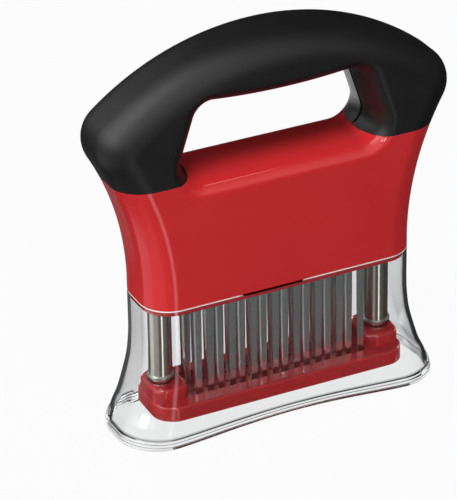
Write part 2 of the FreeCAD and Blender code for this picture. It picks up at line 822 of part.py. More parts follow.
def holder_and_clamp():
    """Slotted holder in which the knives hang by their heads, and the plate that clamps them."""
    half_x = S.holder_half_x
    half_y = S.holder_half_y
    block = box("holder_block", (-half_x, -half_y, S.base_top), (half_x, half_y, S.knife_top))
    low = (-S.tray_half_x, -S.tray_half_y, S.knife_shoulder)
    tray = box("holder_tray", low, (S.tray_half_x, S.tray_half_y, S.knife_top + CLEAR))
    slots = slot_field("holder_slots", S.base_top - CLEAR, S.knife_shoulder + CLEAR)
    openings = joined("holder_openings", [tray, slots] + clamp_screw_shanks("holder_hole"))
    part(cut("holder_piece", block, openings), "knife_holder")
    cover = box("clamp_cover", (-half_x, -half_y, S.knife_top), (half_x, half_y, S.clamp_top))
    holes = joined("clamp_holes", clamp_screw_shanks("clamp_hole"))
    part(cut("clamp_piece", cover, holes), "clamp_plate")
    screws = []
    top = S.clamp_top + S.clamp_screw_head_height
    for number, ((x, y), shank) in enumerate(zip(CORNERS, clamp_screw_shanks("clamp_shank")), start=1):
        head = rod(f"clamp_head_{number}", S.clamp_screw_head, S.clamp_top, top,
                   x * S.clamp_screw_x, y * S.clamp_screw_y)
        screws.append(joined(f"clamp_screw_{number}", [head, shank]))
    group("clamp_screws", screws)


# ---------------------------------------------------------------- guide plate

def plate_form():
    """Plate with its long recess and the two bosses that take the columns."""
    owner = body("plate_form")
    outline = sketch_on(owner, "plate_outline", level=S.plate_bottom)
    rounded_rectangle(outline, S.plate_half_x, S.plate_half_y, S.plate_corner)
    pad(owner, "plate_pad", outline, S.plate_ledge - S.plate_bottom)
    doc.recompute()
    fillet(owner, "plate_round", edges_where(owner.Shape, lambda p: p.z > N.plate_ledge - TOUCH),
           S.plate_edge_round)
    boss = sketch_on(owner, "boss_outline", level=S.plate_floor)
    half = (S.boss_outer - S.boss_inner) / 2
    rounded_rectangle(boss, half, S.boss_half_y, S.boss_corner, S.boss_outer, "Right")
    rounded_rectangle(boss, half, S.boss_half_y, S.boss_corner, -S.boss_inner, "Left")
    pad(owner, "boss_pad", boss, S.boss_top - S.plate_floor)
    doc.recompute()
    fillet(owner, "boss_round", edges_where(owner.Shape, lambda p: p.z > N.boss_top - TOUCH), S.boss_round)
    recess = sketch_on(owner, "recess_outline", level=S.plate_ledge)
    rounded_rectangle(recess, S.recess_half_x, S.recess_half_y, S.recess_corner)
    pad(owner, "recess_pocket", recess, S.plate_ledge - S.plate_floor, kind="PartDesign::Pocket")
    doc.recompute()
    return owner


def guide_plate():
    openings = [slot_field("plate_slots", S.plate_bottom - CLEAR, S.plate_floor + CLEAR)]
    for name, side in SIDES.items():
        place = side * S.column_x
        openings += [
            rod(f"plug_seat_{name}", S.plug_radius, S.plug_bottom, S.boss_top + CLEAR, place),
            rod(f"plug_recess_{name}", S.plug_recess_radius, S.boss_top - S.plug_recess_depth,
                S.boss_top + CLEAR, place),
            rod(f"foot_hole_{name}", S.foot_screw_radius, S.plate_bottom, S.plug_bottom + CLEAR, place),
            rod(f"foot_head_hole_{name}", S.foot_screw_head, S.plate_bottom - CLEAR,
                S.foot_screw_head_top, place),
        ]
    part(cut("plate_piece", plate_form(), joined("plate_openings", openings)), "guide_plate")


def plate_screws():
    screws = []
    for name, side in SIDES.items():
        place = side * S.column_x
        head = rod(f"foot_head_{name}", S.foot_screw_head, S.foot_screw_head_bottom,
                   S.foot_screw_head_top, place)
        shank = rod(f"foot_shank_{name}", S.foot_screw_radius, S.foot_screw_head_top,
                    S.foot_screw_top, place)
        screws.append(joined(f"foot_screw_{name}", [head, shank]))
    group("plate_screws", screws)


# ---------------------------------------------------------------- guard

def guard_form(name, inset, beyond=0):
    """Loft through rounded rectangles that widen to the rim, drawn in by an inset."""
    owner = body(name)
    spread = [
        (S.body_half_width, S.rim_half_x), (S.body_depth / 2, S.rim_half_y), (S.edge_round, S.rim_corner),
    ]
    (foot, foot_flare), *middle = GUARD_STATIONS
    stations = [(foot - beyond, foot_flare)] + middle + [(S.guard_top + beyond, 0.0)]
    sections = []
    for number, (level, flare) in enumerate(stations):
        sketch = sketch_on(owner, f"{name}_station_{number}", level=level)
        sizes = [top + (rim - top) * flare - inset for top, rim in spread]
        rounded_rectangle(sketch, *sizes)
        sections.append(sketch)
    loft = owner.newObject("PartDesign::AdditiveLoft", name + "_loft")
    loft.Profile = sections[0]
    loft.Sections = sections[1:]
    doc.recompute()
    return owner


def rim_line(name, rise):
    """Solid below the arched line of the rim, raised by a given amount."""
    owner = body(name)
    sketch = sketch_on(owner, name + "_outline", "XZ_Plane")
    crown = N.rim_arch_radius
    blend = N.rim_arch_blend
    lift = float(rise)
    top = N.rim_arch + lift
    middle = Vector(0, top - crown)
    centre = Vector(math.sqrt((crown + blend) ** 2 - (lift + blend - middle.y) ** 2), lift + blend)
    touch = direction(middle, centre)
    depth = 4 * N.rim_bead_height
    pieces = [
        arc(middle, crown, touch, math.pi - touch),
        arc(centre, blend, touch + math.pi, 3 * math.pi / 2),
        Part.LineSegment(Vector(centre.x, lift), Vector(REACH, lift)),
        Part.LineSegment(Vector(REACH, lift), Vector(REACH, -depth)),
        Part.LineSegment(Vector(REACH, -depth), Vector(-REACH, -depth)),
        Part.LineSegment(Vector(-REACH, -depth), Vector(-REACH, lift)),
        Part.LineSegment(Vector(-REACH, lift), Vector(-centre.x, lift)),
        arc(Vector(-centre.x, centre.y), blend, 3 * math.pi / 2, 2 * math.pi - touch),
    ]
    for piece in pieces:
        sketch.addGeometry(piece)
    constrain(sketch, [
        ("Tangent", 0, 1, 1, 1), ("Tangent", 1, 2, 2, 1), ("Coincident", 2, 2, 3, 1),
        ("Coincident", 3, 2, 4, 1), ("Coincident", 4, 2, 5, 1), ("Coincident", 5, 2, 6, 1),
        ("Tangent", 6, 2, 7, 1), ("Tangent", 7, 2, 0, 2), ("Horizontal", 2), ("Vertical", 3),
        ("Horizontal", 6), ("Vertical", 5), ("Symmetric", 4, 1, 4, 2, -2),
        ("PointOnObject", 0, 3, -2), ("Equal", 1, 7), ("PointOnObject", 6, 1, 2),
    ])
    dimension(sketch, "Radius", (0,), S.rim_arch_radius, "Crown")
    dimension(sketch, "Radius", (1,), S.rim_arch_blend, "Blend")
    dimension(sketch, "DistanceX", (4, 2, 4, 1), as_size(2 * REACH), "Reach")
    dimension(sketch, "DistanceY", (4, 1, -1, 1), 4 * S.rim_bead_height, "Depth")
    if lift:
        dimension(sketch, "DistanceY", (-1, 1, 2, 2), as_size(rise), "Rise")
    else:
        constrain(sketch, [("PointOnObject", 2, 2, -1)])
    dimension(sketch, "DistanceY", (0, 3, -1, 1), S.rim_arch_radius - S.rim_arch - rise, "Centre")
    pad(owner, name + "_pad", sketch, 4 * S.rim_half_y, symmetric=True)
    return owner


def finger_notch():
    """Shallow notch in the front top edge, by which a fingertip starts the guard off."""
    radius = (S.notch_half * S.notch_half + S.notch_depth * S.notch_depth) / (2 * S.notch_depth)
    tool = doc.addObject("Part::Cylinder", "finger_notch")
    tool.Placement.Rotation = Rotation(Vector(1, 0, 0), 90)
    bind(tool, "Radius", radius)
    bind(tool, "Height", S.body_depth / 2)
    bind(tool, "Placement.Base.x", S.notch_middle)
    bind(tool, "Placement.Base.y", -S.body_depth / 4)
    bind(tool, "Placement.Base.z", S.guard_top - S.notch_depth + radius)
    return tool


def blade_guard():
    """Clear guard that widens to a beaded rim, with its long sides arched over the board."""
    outside = guard_form("guard_outside", as_size(0))
    inside = guard_form("guard_inside", S.guard_wall, CLEAR)
    wider = guard_form("bead_outside", -S.rim_bead)
    bead = common("rim_bead", wider, rim_line("bead_band", S.rim_bead_height))
    shell = cut("guard_shell", joined("guard_solid", [outside, bead]), inside)
    tools = joined("guard_cuts", [rim_line("rim_cut", as_size(0)), finger_notch()])
    part(cut("guard_piece", shell, tools), "blade_guard")


# ---------------------------------------------------------------- assembly

def build():
    core = front_form("core", S.grip_wall, S.palm_wall, S.core_depth)
    envelope = round_form(front_form("envelope", 0, 0, S.body_depth), 0, 0, S.body_depth)
    region = grip_region()
    housing(envelope, core, region)
    grip_halves(envelope, core, region)
    base_plate()
    base_screws()
    for name, side in SIDES.items():
        column_side(name, side)
    guide_plate()
    plate_screws()
    knives(knife_blank())
    holder_and_clamp()
    blade_guard()
    doc.recompute()


def check():
    """Stop if a feature failed or a sub-part has no sound shape."""
    for feature in doc.Objects:
        if "Invalid" in feature.State or "Error" in feature.State:
            raise RuntimeError(f"{feature.Name} failed: {feature.State}")
        if feature.TypeId == "Sketcher::SketchObject" and not feature.FullyConstrained:
            raise RuntimeError(f"{feature.Name} is not fully constrained")
    for feature in finished:
        if feature.Shape.isNull() or not feature.Shape.isValid() or not feature.Shape.Solids:
            raise RuntimeError(f"{feature.Label} has no sound shape")


def write():
    os.makedirs("parts", exist_ok=True)
    for feature in finished:
        feature.Shape.exportStep(os.path.join("parts", feature.Label + ".step"))
        print(f"{feature.Label:22s} {len(feature.Shape.Solids):3d} solids {feature.Shape.Volume:11.1f} mm3")


build()
check()
write()
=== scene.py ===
import json
import math
import bmesh
import bpy
from mathutils import Matrix, Vector

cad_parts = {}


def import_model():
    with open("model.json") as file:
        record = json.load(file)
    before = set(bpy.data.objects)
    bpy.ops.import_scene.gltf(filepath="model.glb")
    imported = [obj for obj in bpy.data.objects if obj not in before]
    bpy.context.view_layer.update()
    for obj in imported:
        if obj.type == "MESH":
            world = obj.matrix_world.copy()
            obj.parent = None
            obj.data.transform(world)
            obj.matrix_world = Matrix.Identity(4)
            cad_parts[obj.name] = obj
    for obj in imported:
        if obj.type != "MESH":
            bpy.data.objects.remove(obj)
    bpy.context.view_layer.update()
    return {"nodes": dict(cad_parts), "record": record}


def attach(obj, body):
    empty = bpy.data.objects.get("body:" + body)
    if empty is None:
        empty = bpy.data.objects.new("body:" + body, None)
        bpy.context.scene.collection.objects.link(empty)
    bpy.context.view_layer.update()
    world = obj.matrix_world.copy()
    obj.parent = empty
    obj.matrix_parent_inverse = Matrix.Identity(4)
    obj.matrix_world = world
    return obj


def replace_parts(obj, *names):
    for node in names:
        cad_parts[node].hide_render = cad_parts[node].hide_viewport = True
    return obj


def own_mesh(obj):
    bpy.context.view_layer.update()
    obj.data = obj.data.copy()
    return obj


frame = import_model()

# Blade meat tenderizer. X runs along the width, -Y is the front, +Z is up, and the guard's rim
# stands at zero. The scene is in metres; the sizes below are in millimetres.
MM = 0.001

# front view of the housing and its D-handle
BODY_HALF = 78.0
BODY_BOTTOM = 79.5
BODY_TOP = 150.0
HALF_DEPTH = 23.0
FLARE_START = 85.0
FLARE_R = 160.0
HANDLE_HALF = 100.8
HANDLE_TOP = 220.5
SHOULDER_R = 19.0
EDGE_R = 17.0
GRIP_LINE = 151.0

# hand opening, and the parting step and seam of the grip in it
OPENING_TOP = 188.4
OPENING_HALF_TOP = 46.5
OPENING_HALF_LOW = 59.2
OPENING_CORNER_TOP = 8.0
OPENING_CORNER_LOW = 10.0
OPENING_R = 10.0
OPENING_ROUNDNESS = 2.4
BELLY_R = 380.0
PARTING_DEPTH = 20.6
PARTING_STEP = 0.12
SEAM_HALF = 0.9
SEAM_DEPTH = 1.6

# inside of the housing, and the lip that the guard slips over
WALL = 2.6
LEDGE_TOP = 81.4
CEILING = 145.5
LIP_BOTTOM = 75.5
LIP_INSET = 2.4
LIP_WALL = 2.0

# return springs, between the plugs in the columns and the ceiling of the housing
COLUMN_X = 64.5
PLUG_TOP = 46.0
SPRING_R = 3.55
SPRING_WIRE = 0.65
SPRING_COILS = 9

# guard, with the half-round ribs of its rim, the arch of its long sides and its finger notch
RIM_HALF_X = 92.5
RIM_HALF_Y = 28.5
RIM_CORNER = 24.0
GUARD_WALL = 2.0
GUARD_TOP = 79.3
RIM_RIBS = 3
RIB_PITCH = 1.8
RIB_BASE = 0.2
RIB_OUT = 0.9
ARCH_RISE = 4.2
ARCH_HALF = 70.0
ARCH_FULLNESS = 1.6
ARCH_FADE = 40.0
NOTCH_MIDDLE = -8.5
NOTCH_HALF = 19.5
NOTCH_DEPTH = 1.2
NOTCH_END_SLOPE = 3.0

# guard: level, and how far the outline has widened from the housing to the rim
GUARD_STATIONS = (
    (0.0, 1.0), (9.5, 0.84), (17.5, 0.58), (29.0, 0.32), (40.0, 0.12), (52.0, 0.02), (62.0, 0.0),
    (70.0, 0.0), (GUARD_TOP, 0.0),
)

# steps along the arcs, and rows across the walls
FLARE_STEPS = 40
SHOULDER_STEPS = 24
CROWN_STEPS = 40
BELLY_STEPS = 24
OPENING_CORNER_STEPS = 14
PLAN_CORNER_STEPS = 28
EDGE_ROWS = 14
OPENING_ROWS = 28
RIB_ROWS = 8
GUARD_ROWS = 48
LONG_SIDE = 50.0
LONG_SIDE_CUTS = 40
COIL_STEPS = 24
WIRE_SIDES = 10

# how far cutting tools reach past what they cut, and the half side of those that reach past everything
OVERLAP = 1.0
REACH = 2 * HANDLE_HALF

# vertices nearer than MERGE are one; the others say when a point lies on a plane or on a level
MERGE = 1e-4
PLANE_TOLERANCE = 1e-5
LEVEL_TOLERANCE = 1e-3

# angles between faces, in degrees, where the shading breaks; how much large faces lead the shading
SHARP_EDGE = 35.0
GUARD_SHARP_EDGE = 50.0
FACE_WEIGHT = 80


# ------------------------------------------------------------------ node helpers

# stretch of a pattern: the same every way, or along the grinding lines of an upright piece
EVEN = (1.0, 1.0, 1.0)
UPRIGHT = (1.0, 1.0, 0.02)

# where a pattern reaches its darker and its lighter tone
DARK_PLACE = 0.3
LIGHT_PLACE = 0.7


def new_material(name):
    material = bpy.data.materials.new(name)
    material.use_nodes = True
    tree = material.node_tree
    shader = tree.nodes["Principled BSDF"]
    return material, tree, shader


def object_coordinates(tree, scale):
    """Object coordinates through a Mapping node."""
    place = tree.nodes.new("ShaderNodeTexCoord")
    mapping = tree.nodes.new("ShaderNodeMapping")
    mapping.inputs["Scale"].default_value = scale
    tree.links.new(place.outputs["Object"], mapping.inputs["Vector"])
    return mapping.outputs["Vector"]


def noise(tree, scale, detail=3.0, stretch=EVEN):
    """A cloudy pattern from 0 to 1."""
    texture = tree.nodes.new("ShaderNodeTexNoise")
    texture.inputs["Scale"].default_value = scale
    texture.inputs["Detail"].default_value = detail
    tree.links.new(object_coordinates(tree, stretch), texture.inputs["Vector"])
    return texture.outputs["Fac"]


def combined(tree, operation, first, second):
    """Math on a socket and a second socket or a number."""
    node = tree.nodes.new("ShaderNodeMath")
    node.operation = operation
    tree.links.new(first, node.inputs[0])
    if isinstance(second, bpy.types.NodeSocket):
        tree.links.new(second, node.inputs[1])
    else:
        node.inputs[1].default_value = second
    return node.outputs[0]


def span(tree, value, low=0.0, high=1.0, start=0.0, end=1.0):
    """A value that runs from start to end, spread from low to high."""
    node = tree.nodes.new("ShaderNodeMapRange")
    node.inputs["From Min"].default_value = start
    node.inputs["From Max"].default_value = end
    node.inputs["To Min"].default_value = low
    node.inputs["To Max"].default_value = high
    tree.links.new(value, node.inputs["Value"])
    return node.outputs["Result"]


def ramp(tree, value, stops):
    """A colour by a value, through (place, colour) stops."""
    node = tree.nodes.new("ShaderNodeValToRGB")
    elements = node.color_ramp.elements
    elements[1].position = stops[-1][0]
    for place, _ in stops[1:-1]:
        elements.new(place)
    for element, (place, colour) in zip(elements, stops):
        element.position = place
        element.color = (*colour, 1)
    tree.links.new(value, node.inputs["Fac"])
    return node.outputs["Color"]


def mixed(tree, factor, colour, other):
    """A linked colour blended towards a fixed one."""
    node = tree.nodes.new("ShaderNodeMix")
    node.data_type = "RGBA"
    node.inputs["B"].default_value = (*other, 1)
    tree.links.new(factor, node.inputs["Factor"])
    tree.links.new(colour, node.inputs["A"])
    return node.outputs["Result"]


def blended(tree, factor, low, high):
    """One linked value blended into another."""
    node = tree.nodes.new("ShaderNodeMix")
    tree.links.new(factor, node.inputs["Factor"])
    tree.links.new(low, node.inputs["A"])
    tree.links.new(high, node.inputs["B"])
    return node.outputs["Result"]


def above_level(tree, level, blend):
    """0 below a level of the object in millimetres, 1 above it."""
    height = tree.nodes.new("ShaderNodeSeparateXYZ")
    tree.links.new(object_coordinates(tree, (1 / MM, 1 / MM, 1 / MM)), height.inputs["Vector"])
    return span(tree, height.outputs["Z"], start=level - blend, end=level + blend)


def tinted(tree, shader, value, dark, light):
    """Base colour between two tones."""
    tones = ramp(tree, value, ((DARK_PLACE, dark), (LIGHT_PLACE, light)))
    tree.links.new(tones, shader.inputs["Base Color"])


def roughened(tree, shader, value, low, high):
    """Roughness between two levels."""
    tree.links.new(span(tree, value, low, high), shader.inputs["Roughness"])


def bump(tree, shader, height, strength, distance):
    """Fine relief, with its distance in metres."""
    node = tree.nodes.new("ShaderNodeBump")
    node.inputs["Strength"].default_value = strength
    node.inputs["Distance"].default_value = distance
    tree.links.new(height, node.inputs["Height"])
    tree.links.new(node.outputs["Normal"], shader.inputs["Normal"])


# ------------------------------------------------------------------ finishes

SPECULAR_LEVEL = 0.40
CLEAR_IOR = 1.49

# tint of the guard with painted shade, from its wall seen square on, greyed for the shadow that falls
# inside the guard, to its wall seen edge-on, painted dark where it would mirror dark surroundings
CLEAR_TINT_AND_PAINTED_SHADE = (
    (0.0, (0.90, 0.905, 0.912)), (0.70, (0.90, 0.905, 0.91)), (0.81, (0.64, 0.66, 0.655)),
    (0.89, (0.16, 0.18, 0.17)), (0.96, (0.03, 0.035, 0.03)),
)

# painted shade in the guard's grooves, marked by an attribute of its mesh, and its frosted top edge
GROOVE = "groove"
GROOVE_PAINTED_SHADE = (0.09, 0.10, 0.10)
TOP_EDGE = GUARD_TOP - 0.6
TOP_EDGE_BLEND = 0.25
TOP_EDGE_TINT = (0.90, 0.84, 0.83)
TOP_EDGE_CLARITY = 0.25

# darker tone, lighter tone, least and most roughness, stretch of the lines
STEELS = {
    "knife_steel": ((0.76, 0.78, 0.775), (0.84, 0.86, 0.855), 0.18, 0.28, UPRIGHT),
    "column_nickel": ((0.70, 0.68, 0.57), (0.80, 0.79, 0.67), 0.10, 0.18, UPRIGHT),
    "spring_steel": ((0.35, 0.35, 0.35), (0.5, 0.5, 0.5), 0.25, 0.35, EVEN),
    "screw_steel": ((0.35, 0.35, 0.35), (0.5, 0.5, 0.5), 0.25, 0.40, EVEN),
}
# darker tone, lighter tone, roughness
MOULDINGS = {
    "inner_plastic": ((0.012, 0.012, 0.013), (0.02, 0.02, 0.02), 0.5),
    "bush_plastic": ((0.55, 0.55, 0.52), (0.62, 0.62, 0.60), 0.35),
}
MOULDING_SPREAD = 0.06


def red_plastic():
    """Polished red moulding with a trace of ripple and fine handling marks."""
    material, tree, shader = new_material("red_plastic")
    cloud = noise(tree, scale=30.0)
    tinted(tree, shader, cloud, dark=(0.412, 0.0170, 0.0195), light=(0.440, 0.0188, 0.0212))
    shader.inputs["Specular IOR Level"].default_value = SPECULAR_LEVEL
    roughened(tree, shader, noise(tree, scale=220.0, detail=4.0), low=0.05, high=0.11)
    bump(tree, shader, noise(tree, scale=60.0, detail=1.0), strength=0.12, distance=0.0002)
    return material


def grip_rubber():
    """Matte soft-touch skin."""
    material, tree, shader = new_material("grip_rubber")
    cloud = noise(tree, scale=45.0)
    tinted(tree, shader, cloud, dark=(0.0052, 0.0052, 0.0054), light=(0.0068, 0.0068, 0.0070))
    shader.inputs["Specular IOR Level"].default_value = SPECULAR_LEVEL
    roughened(tree, shader, noise(tree, scale=160.0), low=0.38, high=0.46)
    bump(tree, shader, noise(tree, scale=1800.0, detail=2.0), strength=0.12, distance=0.0001)
    return material


def clear_plastic():
    """Clear moulding with painted shade: greyer all over for the shadow inside it, in its grooves and where
    its wall is seen edge-on, with a matt top edge.
    """
    material, tree, shader = new_material("clear_plastic")
    layer = tree.nodes.new("ShaderNodeLayerWeight")
    # painted shade: the wall greyed for the shadow inside the guard and darkened where it is seen edge-on
    wall = ramp(tree, layer.outputs["Facing"], CLEAR_TINT_AND_PAINTED_SHADE)
    # painted shade in the valleys between the rim's ribs and along its foot
    groove = tree.nodes.new("ShaderNodeAttribute")
    groove.attribute_name = GROOVE
    shaded = mixed(tree, groove.outputs["Fac"], wall, GROOVE_PAINTED_SHADE)
    edge = above_level(tree, TOP_EDGE, TOP_EDGE_BLEND)
    tree.links.new(mixed(tree, edge, shaded, TOP_EDGE_TINT), shader.inputs["Base Color"])
    tree.links.new(span(tree, edge, 1.0, TOP_EDGE_CLARITY), shader.inputs["Transmission Weight"])
    shader.inputs["IOR"].default_value = CLEAR_IOR
    roughened(tree, shader, noise(tree, scale=90.0), low=0.012, high=0.03)
    bump(tree, shader, noise(tree, scale=35.0, detail=0.0), strength=0.10, distance=0.0004)
    return material


def ground_steel(name, dark, light, low, high, along):
    """Steel with fine grinding lines."""
    material, tree, shader = new_material(name)
    lines = noise(tree, scale=600.0, detail=2.0, stretch=along)
    tinted(tree, shader, noise(tree, scale=40.0, detail=2.0, stretch=along), dark, light)
    shader.inputs["Metallic"].default_value = 1.0
    roughened(tree, shader, lines, low, high)
    bump(tree, shader, lines, strength=0.02, distance=0.00003)
    return material


def moulded(name, dark, light, roughness):
    """Plain moulded plastic of the inner pieces."""
    material, tree, shader = new_material(name)
    tinted(tree, shader, noise(tree, scale=60.0), dark, light)
    grain = noise(tree, scale=400.0)
    roughened(tree, shader, grain, roughness - MOULDING_SPREAD, roughness + MOULDING_SPREAD)
    bump(tree, shader, noise(tree, scale=900.0), strength=0.08, distance=0.0001)
    return material


FINISHES = {
    "red_plastic": red_plastic(),
    "grip_rubber": grip_rubber(),
    "clear_plastic": clear_plastic(),
    **{name: moulded(name, *recipe) for name, recipe in MOULDINGS.items()},
    **{name: ground_steel(name, *recipe) for name, recipe in STEELS.items()},
}


def finish(piece, slot):
    piece.data.materials.clear()
    piece.data.materials.append(FINISHES[slot])


# ------------------------------------------------------------------ mesh helpers

def placed_object(bm, name):
    """Object in the scene, made from a bmesh."""
    mesh = bpy.data.meshes.new(name)
    bm.to_mesh(mesh)
    bm.free()
    piece = bpy.data.objects.new(name, mesh)
    bpy.context.scene.collection.objects.link(piece)
    return piece


def finished_object(bm, name, slot, body, sharp=SHARP_EDGE, weighted=True):
    """Piece from a bmesh in millimetres: cleaned, and smooth except at its sharp edges."""
    bmesh.ops.remove_doubles(bm, verts=bm.verts, dist=MERGE)
    bmesh.ops.recalc_face_normals(bm, faces=bm.faces)
    bmesh.ops.scale(bm, vec=(MM, MM, MM), verts=bm.verts)
    piece = placed_object(bm, name)
    piece.data.shade_smooth()
    piece.data.set_sharp_from_angle(angle=math.radians(sharp))
    if weighted:
        modifier = piece.modifiers.new("face_weighted", "WEIGHTED_NORMAL")
        modifier.keep_sharp = True
        modifier.weight = FACE_WEIGHT
    finish(piece, slot)
    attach(piece, body)
    return piece


def from_mesh(mesh):
    bm = bmesh.new()
    bm.from_mesh(mesh)
    return bm


def ring(bm, outline, level, upright=False):
    """Closed loop of edges: a front-view outline at a depth, or a plan outline at a height."""
    if upright:
        verts = [bm.verts.new((x, level, z)) for x, z in outline]
    else:
        verts = [bm.verts.new((x, y, level)) for x, y in outline]
    return [bm.edges.new((a, b)) for a, b in zip(verts, verts[1:] + verts[:1])]


def bridge(bm, rings):
    for low, high in zip(rings, rings[1:]):
        bmesh.ops.bridge_loops(bm, edges=low + high)


def cap(bm, *rings):
    for edges in rings:
        bmesh.ops.contextual_create(bm, geom=edges)


def close_holes(bm):
    bmesh.ops.holes_fill(bm, edges=[edge for edge in bm.edges if edge.is_boundary], sides=0)


def box_between(low, high):
    """Closed box between two corners."""
    bm = bmesh.new()
    bmesh.ops.create_cube(bm, size=1.0)
    size = Vector(high) - Vector(low)
    bmesh.ops.scale(bm, vec=size, verts=bm.verts)
    bmesh.ops.translate(bm, vec=Vector(low) + size / 2, verts=bm.verts)
    return bm


def prism(outline, low, high, upright=False):
    """Closed prism of an outline between two levels, or between two depths."""
    bm = bmesh.new()
    rings = [ring(bm, outline, level, upright) for level in (low, high)]
    bridge(bm, rings)
    cap(bm, *rings)
    return bm


def spool(outline, rows):
    """Closed form of a front-view outline that is drawn in with depth, to the front and the rear."""
    bm = bmesh.new()
    front = [ring(bm, outline(inset), -depth, upright=True) for inset, depth in rows]
    rear = [ring(bm, outline(inset), depth, upright=True) for inset, depth in reversed(rows) if depth > 0]
    bridge(bm, front + rear)
    cap(bm, front[0], rear[-1])
    return bm


def closed_object(bm, name):
    """Closed form in millimetres, facing outwards, for a boolean."""
    bmesh.ops.recalc_face_normals(bm, faces=bm.faces)
    return placed_object(bm, name)


def shaped(mesh, name, steps):
    """Mesh in millimetres after a chain of booleans with closed tools."""
    for number, (operation, tool) in enumerate(steps):
        base = bpy.data.objects.new(f"{name}_base_{number}", mesh)
        bpy.context.scene.collection.objects.link(base)
        cutter = closed_object(tool, f"{name}_tool_{number}")
        modifier = base.modifiers.new("carve", "BOOLEAN")
        modifier.operation = operation
        modifier.solver = "EXACT"
        modifier.object = cutter
        bpy.context.view_layer.update()
        carved = base.evaluated_get(bpy.context.evaluated_depsgraph_get())
        mesh = bpy.data.meshes.new_from_object(carved)
        bpy.data.objects.remove(base)
        bpy.data.objects.remove(cutter)
    return mesh


# ------------------------------------------------------------------ outlines

def arc_points(centre, radius, start, end, count):
    points = []
    for step in range(count + 1):
        angle = start + (end - start) * step / count
        points.append(Vector((centre.x + radius * math.cos(angle), centre.y + radius * math.sin(angle))))
    return points


def direction(origin, target):
    delta = target - origin
    return math.atan2(delta.y, delta.x)


def mirrored(points):
    """A right half that starts and ends on the middle line, closed by its mirror image."""
    return points + [Vector((-p.x, p.y)) for p in reversed(points[1:-1])]


def outer_outline(inset):
    """Outside of the tool in the front view, drawn in by an inset.

    A straight foot, a hollow flare, a round shoulder and the crown of the handle, each tangent to the next.
    """
    flare = Vector((BODY_HALF + FLARE_R, FLARE_START))
    shoulder_x = HANDLE_HALF - SHOULDER_R
    rise = math.sqrt((FLARE_R + SHOULDER_R) ** 2 - (flare.x - shoulder_x) ** 2)
    shoulder = Vector((shoulder_x, flare.y + rise))
    drop = shoulder.y - HANDLE_TOP
    crown_r = (SHOULDER_R ** 2 - shoulder.x ** 2 - drop ** 2) / (2 * (drop + SHOULDER_R))
    crown = Vector((0.0, HANDLE_TOP - crown_r))
    top = direction(crown, shoulder)
    right = [Vector((0.0, BODY_BOTTOM)), Vector((BODY_HALF - inset, BODY_BOTTOM))]
    right += arc_points(flare, FLARE_R + inset, math.pi, direction(flare, shoulder), FLARE_STEPS)
    right += arc_points(shoulder, SHOULDER_R - inset, direction(shoulder, flare), top, SHOULDER_STEPS)[1:]
    right += arc_points(crown, crown_r - inset, top, math.pi / 2, CROWN_STEPS)[1:]
    return mirrored(right)


def opening_outline(grow):
    """Hand opening in the front view, pushed out by an amount.

    A flat floor, slanted sides between round corners, and a grip that hangs down a little in the middle.
    """
    belly = Vector((0.0, OPENING_TOP + BELLY_R))
    belly_r = BELLY_R - grow
    low = Vector((OPENING_HALF_LOW, BODY_TOP))
    high = Vector((OPENING_HALF_TOP, OPENING_TOP))
    down = (low - high).normalized()
    out = Vector((-down.y, down.x))
    low_r = OPENING_CORNER_LOW + grow
    high_r = OPENING_CORNER_TOP + grow
    foot = low + out * (grow - low_r)
    low_centre = foot - down * ((foot.y - (BODY_TOP - grow) - low_r) / down.y)
    foot = low + out * (grow - high_r)
    delta = foot - belly
    along = delta.dot(down)
    reach = math.sqrt(along ** 2 - delta.dot(delta) + (belly_r + high_r) ** 2)
    high_centre = foot - down * (along + reach)
    if high_centre.y > OPENING_TOP + grow:
        high_centre = foot - down * (along - reach)
    touch = math.atan2(out.y, out.x)
    belly_end = direction(belly, high_centre)
    right = [Vector((0.0, BODY_TOP - grow))]
    right += arc_points(low_centre, low_r, -math.pi / 2, touch, OPENING_CORNER_STEPS)
    right += arc_points(high_centre, high_r, touch, belly_end + math.pi, OPENING_CORNER_STEPS)
    right += arc_points(belly, belly_r, belly_end, -math.pi / 2, BELLY_STEPS)[1:]
    return mirrored(right)


def plan_outline(half_x, half_y, corner):
    """Rounded rectangle in the plan view."""
    points = []
    for quarter, (side_x, side_y) in enumerate(((1, 1), (-1, 1), (-1, -1), (1, -1))):
        centre = Vector((side_x * (half_x - corner), side_y * (half_y - corner)))
        start = quarter * math.pi / 2
        points += arc_points(centre, corner, start, start + math.pi / 2, PLAN_CORNER_STEPS)
    return points


def lip_outline(inset):
    """Plan of the housing, drawn in by an inset."""
    return plan_outline(BODY_HALF - inset, HALF_DEPTH - inset, EDGE_R - inset)


def rounded_rows(radius, half_depth, count):
    """(inset, depth) pairs of a quarter round from the face back to the side."""
    rows = []
    for step in range(count + 1):
        angle = math.pi / 2 * (1 - step / count)
        rows.append((radius * (1 - math.cos(angle)), half_depth - radius + radius * math.sin(angle)))
    return rows


def crowned_rows(rise, half_depth, count):
    """(inset, depth) pairs of a crowned wall, with a small parting step near its front and rear edges."""
    rows = []
    for step in range(count + 1):
        angle = math.pi / 2 * (1 - step / count)
        depth = half_depth * math.sin(angle)
        share = (depth / half_depth) ** OPENING_ROUNDNESS
        inset = rise * (1 - (1 - share) ** (1 / OPENING_ROUNDNESS))
        rows.append((inset + (PARTING_STEP if depth > PARTING_DEPTH else 0.0), depth))
    return rows


# ------------------------------------------------------------------ housing and grip

